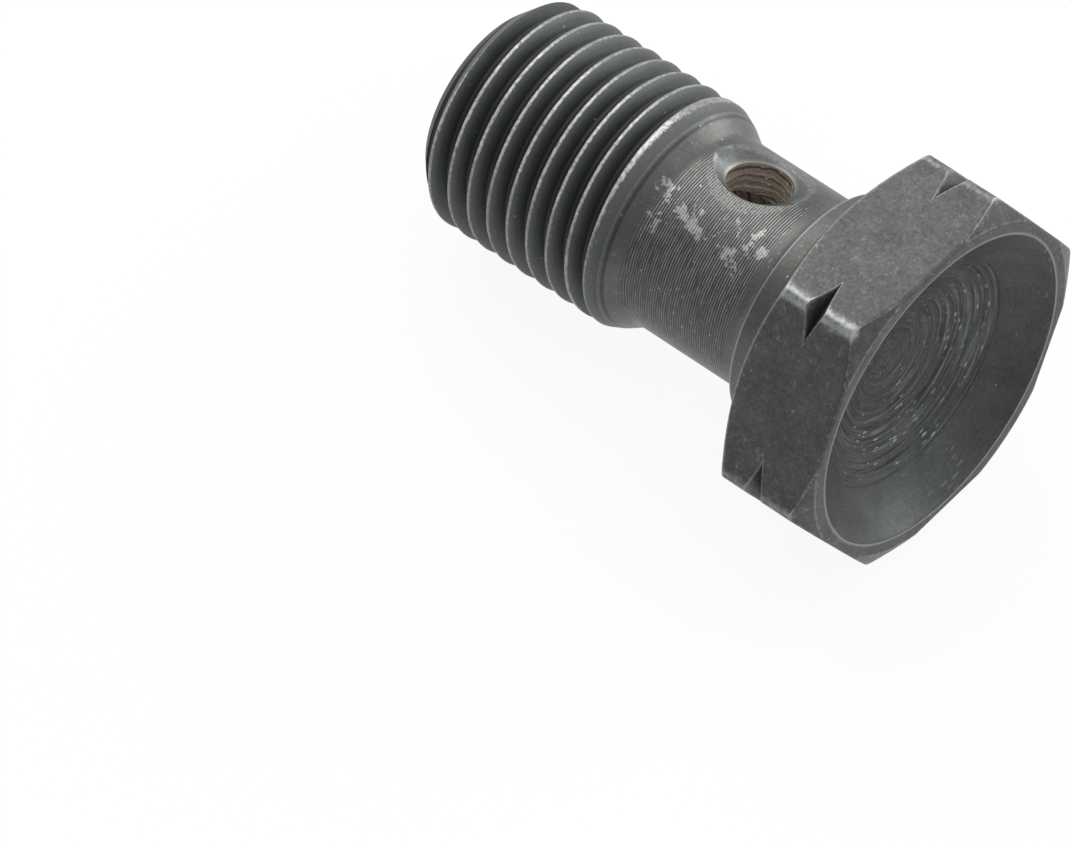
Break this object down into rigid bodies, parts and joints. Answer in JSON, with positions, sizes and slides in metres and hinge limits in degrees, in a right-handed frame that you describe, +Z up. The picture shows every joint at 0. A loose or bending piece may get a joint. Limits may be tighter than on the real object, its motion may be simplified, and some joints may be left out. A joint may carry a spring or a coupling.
{
  "type": "banjo bolt",
  "caption": "Hollow M10 x 1.0 banjo bolt: dished hexagon head with nicked corners, short neck, cross-drilled waisted shank and threaded, axially bored end.",
  "frame": {"origin": "centre of the footprint's bounding box, on the surface that the bolt lies on", "axes": "+Z up; the bolt lies along X with its head towards +X and its tip towards -X, a little lower; one head flat faces up, square to the XZ plane"},
  "size_m": [0.0238, 0.0166, 0.0148],
  "materials": {
    "black_oxide_steel": "black oxide, satin, with bright worn edges"
  },
  "bodies": {
    "root": {"banjo_bolt": "black_oxide_steel"}
  },
  "joints": []
}
